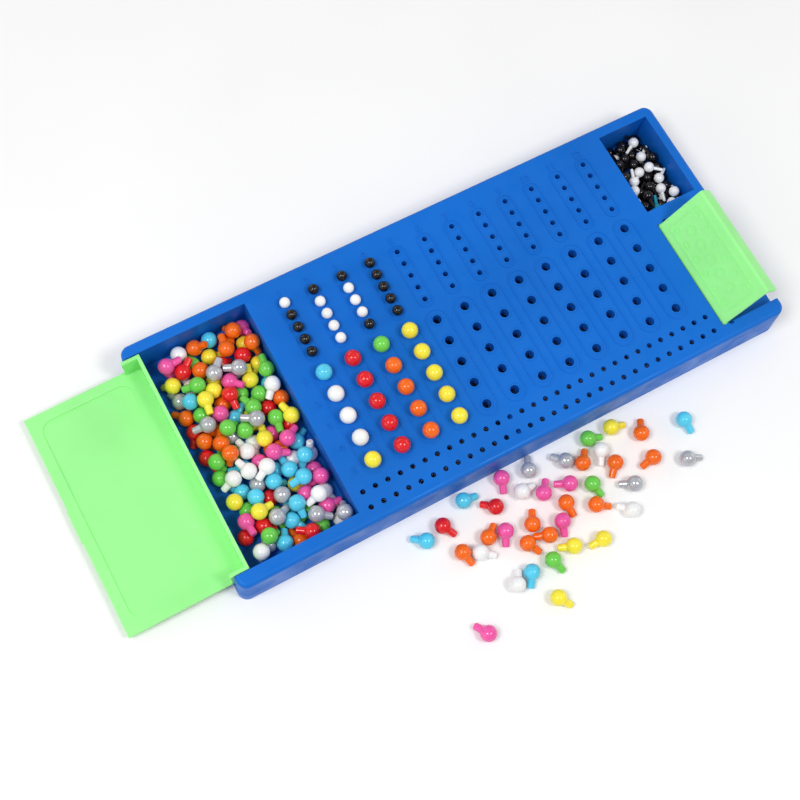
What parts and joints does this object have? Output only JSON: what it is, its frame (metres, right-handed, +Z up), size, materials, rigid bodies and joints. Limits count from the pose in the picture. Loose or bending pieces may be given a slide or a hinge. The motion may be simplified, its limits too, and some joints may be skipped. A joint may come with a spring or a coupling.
{
  "type": "peg code-breaking board game",
  "caption": "Long moulded game tray with rows of peg holes, a hinged lid over the peg store, a hinged shield over the secret code, and ball-headed pegs in play, stored and loose.",
  "frame": {"origin": "middle of the tray's underside, on the table plane", "axes": "+X along the board from the peg store towards the secret code, +Y towards the row numbers, +Z up"},
  "size_m": [0.3671, 0.2136, 0.0447],
  "materials": {
    "tray_plastic": "glossy moulded blue",
    "cover_plastic": "glossy moulded light green",
    "peg_red": "glossy moulded red",
    "peg_orange": "glossy moulded orange",
    "peg_yellow": "glossy moulded yellow",
    "peg_green": "glossy moulded green",
    "peg_light_blue": "glossy moulded light blue",
    "peg_pink": "glossy moulded pink",
    "peg_white": "glossy moulded white",
    "peg_silver": "glossy moulded silver",
    "peg_black": "glossy moulded black",
    "peg_teal": "glossy moulded teal"
  },
  "bodies": {
    "tray": {"board_tray": "tray_plastic", "spare_code_pegs_red": "peg_red", "spare_code_pegs_orange": "peg_orange", "spare_code_pegs_yellow": "peg_yellow", "spare_code_pegs_green": "peg_green", "spare_code_pegs_light_blue": "peg_light_blue", "spare_code_pegs_pink": "peg_pink", "spare_code_pegs_white": "peg_white", "spare_code_pegs_silver": "peg_silver", "spare_key_pegs_black": "peg_black", "spare_key_pegs_white": "peg_white", "spare_key_pegs_teal": "peg_teal"},
    "lid": {"store_lid": "cover_plastic"},
    "shield": {"code_shield": "cover_plastic"},
    "code_peg_row1_hole1": {"code_peg_row1_hole1": "peg_light_blue"},
    "code_peg_row1_hole2": {"code_peg_row1_hole2": "peg_white"},
    "code_peg_row1_hole3": {"code_peg_row1_hole3": "peg_white"},
    "code_peg_row1_hole4": {"code_peg_row1_hole4": "peg_white"},
    "code_peg_row1_hole5": {"code_peg_row1_hole5": "peg_yellow"},
    "code_peg_row2_hole1": {"code_peg_row2_hole1": "peg_red"},
    "code_peg_row2_hole2": {"code_peg_row2_hole2": "peg_red"},
    "code_peg_row2_hole3": {"code_peg_row2_hole3": "peg_red"},
    "code_peg_row2_hole4": {"code_peg_row2_hole4": "peg_red"},
    "code_peg_row2_hole5": {"code_peg_row2_hole5": "peg_red"},
    "code_peg_row3_hole1": {"code_peg_row3_hole1": "peg_green"},
    "code_peg_row3_hole2": {"code_peg_row3_hole2": "peg_orange"},
    "code_peg_row3_hole3": {"code_peg_row3_hole3": "peg_orange"},
    "code_peg_row3_hole4": {"code_peg_row3_hole4": "peg_orange"},
    "code_peg_row3_hole5": {"code_peg_row3_hole5": "peg_orange"},
    "code_peg_row4_hole1": {"code_peg_row4_hole1": "peg_yellow"},
    "code_peg_row4_hole2": {"code_peg_row4_hole2": "peg_yellow"},
    "code_peg_row4_hole3": {"code_peg_row4_hole3": "peg_yellow"},
    "code_peg_row4_hole4": {"code_peg_row4_hole4": "peg_yellow"},
    "code_peg_row4_hole5": {"code_peg_row4_hole5": "peg_yellow"},
    "key_peg_row1_hole1": {"key_peg_row1_hole1": "peg_white"},
    "key_peg_row1_hole2": {"key_peg_row1_hole2": "peg_black"},
    "key_peg_row1_hole3": {"key_peg_row1_hole3": "peg_black"},
    "key_peg_row1_hole4": {"key_peg_row1_hole4": "peg_black"},
    "key_peg_row1_hole5": {"key_peg_row1_hole5": "peg_black"},
    "key_peg_row2_hole1": {"key_peg_row2_hole1": "peg_black"},
    "key_peg_row2_hole2": {"key_peg_row2_hole2": "peg_white"},
    "key_peg_row2_hole3": {"key_peg_row2_hole3": "peg_white"},
    "key_peg_row2_hole4": {"key_peg_row2_hole4": "peg_white"},
    "key_peg_row2_hole5": {"key_peg_row2_hole5": "peg_white"},
    "key_peg_row3_hole1": {"key_peg_row3_hole1": "peg_black"},
    "key_peg_row3_hole2": {"key_peg_row3_hole2": "peg_white"},
    "key_peg_row3_hole3": {"key_peg_row3_hole3": "peg_white"},
    "key_peg_row3_hole4": {"key_peg_row3_hole4": "peg_white"},
    "key_peg_row3_hole5": {"key_peg_row3_hole5": "peg_black"},
    "key_peg_row4_hole1": {"key_peg_row4_hole1": "peg_black"},
    "key_peg_row4_hole2": {"key_peg_row4_hole2": "peg_black"},
    "key_peg_row4_hole3": {"key_peg_row4_hole3": "peg_black"},
    "key_peg_row4_hole4": {"key_peg_row4_hole4": "peg_black"},
    "key_peg_row4_hole5": {"key_peg_row4_hole5": "peg_black"}
  },
  "joints": [
    {"name": "lid_hinge", "type": "hinge", "parent": "tray", "child": "lid", "pos_m": [-0.1503, 0, 0.0147], "axis": [0, 1, 0], "range_deg": [0, 182]},
    {"name": "shield_hinge", "type": "hinge", "parent": "tray", "child": "shield", "pos_m": [0.1233, 0, 0.0214], "axis": [0, -1, 0], "range_deg": [-51, 44]},
    {"name": "code_pull_row1_hole1", "type": "slide", "parent": "tray", "child": "code_peg_row1_hole1", "axis": [0, 0, 1], "range_m": [0, 0.012]},
    {"name": "code_pull_row1_hole2", "type": "slide", "parent": "tray", "child": "code_peg_row1_hole2", "axis": [0, 0, 1], "range_m": [0, 0.012]},
    {"name": "code_pull_row1_hole3", "type": "slide", "parent": "tray", "child": "code_peg_row1_hole3", "axis": [0, 0, 1], "range_m": [0, 0.012]},
    {"name": "code_pull_row1_hole4", "type": "slide", "parent": "tray", "child": "code_peg_row1_hole4", "axis": [0, 0, 1], "range_m": [0, 0.012]},
    {"name": "code_pull_row1_hole5", "type": "slide", "parent": "tray", "child": "code_peg_row1_hole5", "axis": [0, 0, 1], "range_m": [0, 0.012]},
    {"name": "code_pull_row2_hole1", "type": "slide", "parent": "tray", "child": "code_peg_row2_hole1", "axis": [0, 0, 1], "range_m": [0, 0.012]},
    {"name": "code_pull_row2_hole2", "type": "slide", "parent": "tray", "child": "code_peg_row2_hole2", "axis": [0, 0, 1], "range_m": [0, 0.012]},
    {"name": "code_pull_row2_hole3", "type": "slide", "parent": "tray", "child": "code_peg_row2_hole3", "axis": [0, 0, 1], "range_m": [0, 0.012]},
    {"name": "code_pull_row2_hole4", "type": "slide", "parent": "tray", "child": "code_peg_row2_hole4", "axis": [0, 0, 1], "range_m": [0, 0.012]},
    {"name": "code_pull_row2_hole5", "type": "slide", "parent": "tray", "child": "code_peg_row2_hole5", "axis": [0, 0, 1], "range_m": [0, 0.012]},
    {"name": "code_pull_row3_hole1", "type": "slide", "parent": "tray", "child": "code_peg_row3_hole1", "axis": [0, 0, 1], "range_m": [0, 0.012]},
    {"name": "code_pull_row3_hole2", "type": "slide", "parent": "tray", "child": "code_peg_row3_hole2", "axis": [0, 0, 1], "range_m": [0, 0.012]},
    {"name": "code_pull_row3_hole3", "type": "slide", "parent": "tray", "child": "code_peg_row3_hole3", "axis": [0, 0, 1], "range_m": [0, 0.012]},
    {"name": "code_pull_row3_hole4", "type": "slide", "parent": "tray", "child": "code_peg_row3_hole4", "axis": [0, 0, 1], "range_m": [0, 0.012]},
    {"name": "code_pull_row3_hole5", "type": "slide", "parent": "tray", "child": "code_peg_row3_hole5", "axis": [0, 0, 1], "range_m": [0, 0.012]},
    {"name": "code_pull_row4_hole1", "type": "slide", "parent": "tray", "child": "code_peg_row4_hole1", "axis": [0, 0, 1], "range_m": [0, 0.012]},
    {"name": "code_pull_row4_hole2", "type": "slide", "parent": "tray", "child": "code_peg_row4_hole2", "axis": [0, 0, 1], "range_m": [0, 0.012]},
    {"name": "code_pull_row4_hole3", "type": "slide", "parent": "tray", "child": "code_peg_row4_hole3", "axis": [0, 0, 1], "range_m": [0, 0.012]},
    {"name": "code_pull_row4_hole4", "type": "slide", "parent": "tray", "child": "code_peg_row4_hole4", "axis": [0, 0, 1], "range_m": [0, 0.012]},
    {"name": "code_pull_row4_hole5", "type": "slide", "parent": "tray", "child": "code_peg_row4_hole5", "axis": [0, 0, 1], "range_m": [0, 0.012]},
    {"name": "key_pull_row1_hole1", "type": "slide", "parent": "tray", "child": "key_peg_row1_hole1", "axis": [0, 0, 1], "range_m": [0, 0.012]},
    {"name": "key_pull_row1_hole2", "type": "slide", "parent": "tray", "child": "key_peg_row1_hole2", "axis": [0, 0, 1], "range_m": [0, 0.012]},
    {"name": "key_pull_row1_hole3", "type": "slide", "parent": "tray", "child": "key_peg_row1_hole3", "axis": [0, 0, 1], "range_m": [0, 0.012]},
    {"name": "key_pull_row1_hole4", "type": "slide", "parent": "tray", "child": "key_peg_row1_hole4", "axis": [0, 0, 1], "range_m": [0, 0.012]},
    {"name": "key_pull_row1_hole5", "type": "slide", "parent": "tray", "child": "key_peg_row1_hole5", "axis": [0, 0, 1], "range_m": [0, 0.012]},
    {"name": "key_pull_row2_hole1", "type": "slide", "parent": "tray", "child": "key_peg_row2_hole1", "axis": [0, 0, 1], "range_m": [0, 0.012]},
    {"name": "key_pull_row2_hole2", "type": "slide", "parent": "tray", "child": "key_peg_row2_hole2", "axis": [0, 0, 1], "range_m": [0, 0.012]},
    {"name": "key_pull_row2_hole3", "type": "slide", "parent": "tray", "child": "key_peg_row2_hole3", "axis": [0, 0, 1], "range_m": [0, 0.012]},
    {"name": "key_pull_row2_hole4", "type": "slide", "parent": "tray", "child": "key_peg_row2_hole4", "axis": [0, 0, 1], "range_m": [0, 0.012]},
    {"name": "key_pull_row2_hole5", "type": "slide", "parent": "tray", "child": "key_peg_row2_hole5", "axis": [0, 0, 1], "range_m": [0, 0.012]},
    {"name": "key_pull_row3_hole1", "type": "slide", "parent": "tray", "child": "key_peg_row3_hole1", "axis": [0, 0, 1], "range_m": [0, 0.012]},
    {"name": "key_pull_row3_hole2", "type": "slide", "parent": "tray", "child": "key_peg_row3_hole2", "axis": [0, 0, 1], "range_m": [0, 0.012]},
    {"name": "key_pull_row3_hole3", "type": "slide", "parent": "tray", "child": "key_peg_row3_hole3", "axis": [0, 0, 1], "range_m": [0, 0.012]},
    {"name": "key_pull_row3_hole4", "type": "slide", "parent": "tray", "child": "key_peg_row3_hole4", "axis": [0, 0, 1], "range_m": [0, 0.012]},
    {"name": "key_pull_row3_hole5", "type": "slide", "parent": "tray", "child": "key_peg_row3_hole5", "axis": [0, 0, 1], "range_m": [0, 0.012]},
    {"name": "key_pull_row4_hole1", "type": "slide", "parent": "tray", "child": "key_peg_row4_hole1", "axis": [0, 0, 1], "range_m": [0, 0.012]},
    {"name": "key_pull_row4_hole2", "type": "slide", "parent": "tray", "child": "key_peg_row4_hole2", "axis": [0, 0, 1], "range_m": [0, 0.012]},
    {"name": "key_pull_row4_hole3", "type": "slide", "parent": "tray", "child": "key_peg_row4_hole3", "axis": [0, 0, 1], "range_m": [0, 0.012]},
    {"name": "key_pull_row4_hole4", "type": "slide", "parent": "tray", "child": "key_peg_row4_hole4", "axis": [0, 0, 1], "range_m": [0, 0.012]},
    {"name": "key_pull_row4_hole5", "type": "slide", "parent": "tray", "child": "key_peg_row4_hole5", "axis": [0, 0, 1], "range_m": [0, 0.012]}
  ]
}
